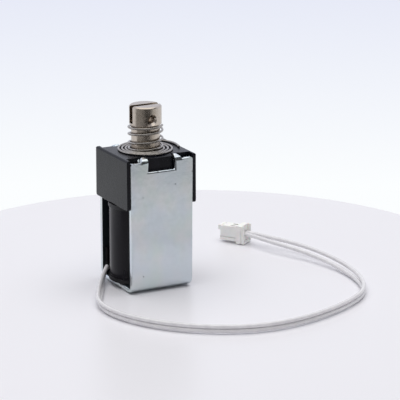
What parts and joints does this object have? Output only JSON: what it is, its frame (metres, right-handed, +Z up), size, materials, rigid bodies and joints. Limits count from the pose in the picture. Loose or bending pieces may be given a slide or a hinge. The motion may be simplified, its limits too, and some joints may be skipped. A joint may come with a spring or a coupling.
{
  "type": "latch solenoid",
  "caption": "Latching solenoid: a bent steel yoke round a wound coil, a black cap, a slotted plunger on a conical return spring, and a flying lead ending in a small plug housing.",
  "frame": {"origin": "centre of the yoke's underside, on the plunger's axis", "axes": "+Z up along the plunger towards its slotted head, +X along the plain front panel, +Y towards the back panel with the mounting holes"},
  "size_m": [0.0867, 0.0914, 0.0564],
  "materials": {
    "zinc_steel": "zinc plated, satin",
    "cap_plastic": "moulded, fine grain",
    "bobbin_plastic": "moulded",
    "copper_wire": "enamelled",
    "tape": "smooth film, half gloss",
    "liner_film": "film",
    "sleeve_brass": "drawn",
    "core_steel": "turned",
    "magnet_plate": "nickel plated",
    "plunger_nickel": "turned, nickel plated",
    "spring_steel": "drawn wire",
    "splice_tube": "shrunk tube",
    "wire_cover": "smooth",
    "plug_nylon": "natural nylon",
    "tinned_brass": "tinned"
  },
  "bodies": {
    "housing": {"yoke_frame": "zinc_steel", "insulation_liner": "liner_film", "fixed_core": "core_steel", "bobbin": "bobbin_plastic", "coil_winding": "copper_wire", "coil_tape": "tape", "guide_sleeve": "sleeve_brass", "pole_block": "core_steel", "magnet_front": "magnet_plate", "magnet_rear": "magnet_plate", "top_cap": "cap_plastic", "return_spring": "spring_steel", "splice_sleeve_a": "splice_tube", "splice_sleeve_b": "splice_tube", "lead_wire_a": "wire_cover", "lead_wire_b": "wire_cover", "connector_housing": "plug_nylon", "terminal_a": "tinned_brass", "terminal_b": "tinned_brass"},
    "plunger": {"plunger": "plunger_nickel"}
  },
  "joints": [
    {"name": "plunger_slide", "type": "slide", "parent": "housing", "child": "plunger", "axis": [0, 0, 1], "range_m": [-0.004, 0], "stiffness_N_per_m": 400, "springref_m": 0.002, "deforming": ["return_spring"]}
  ]
}
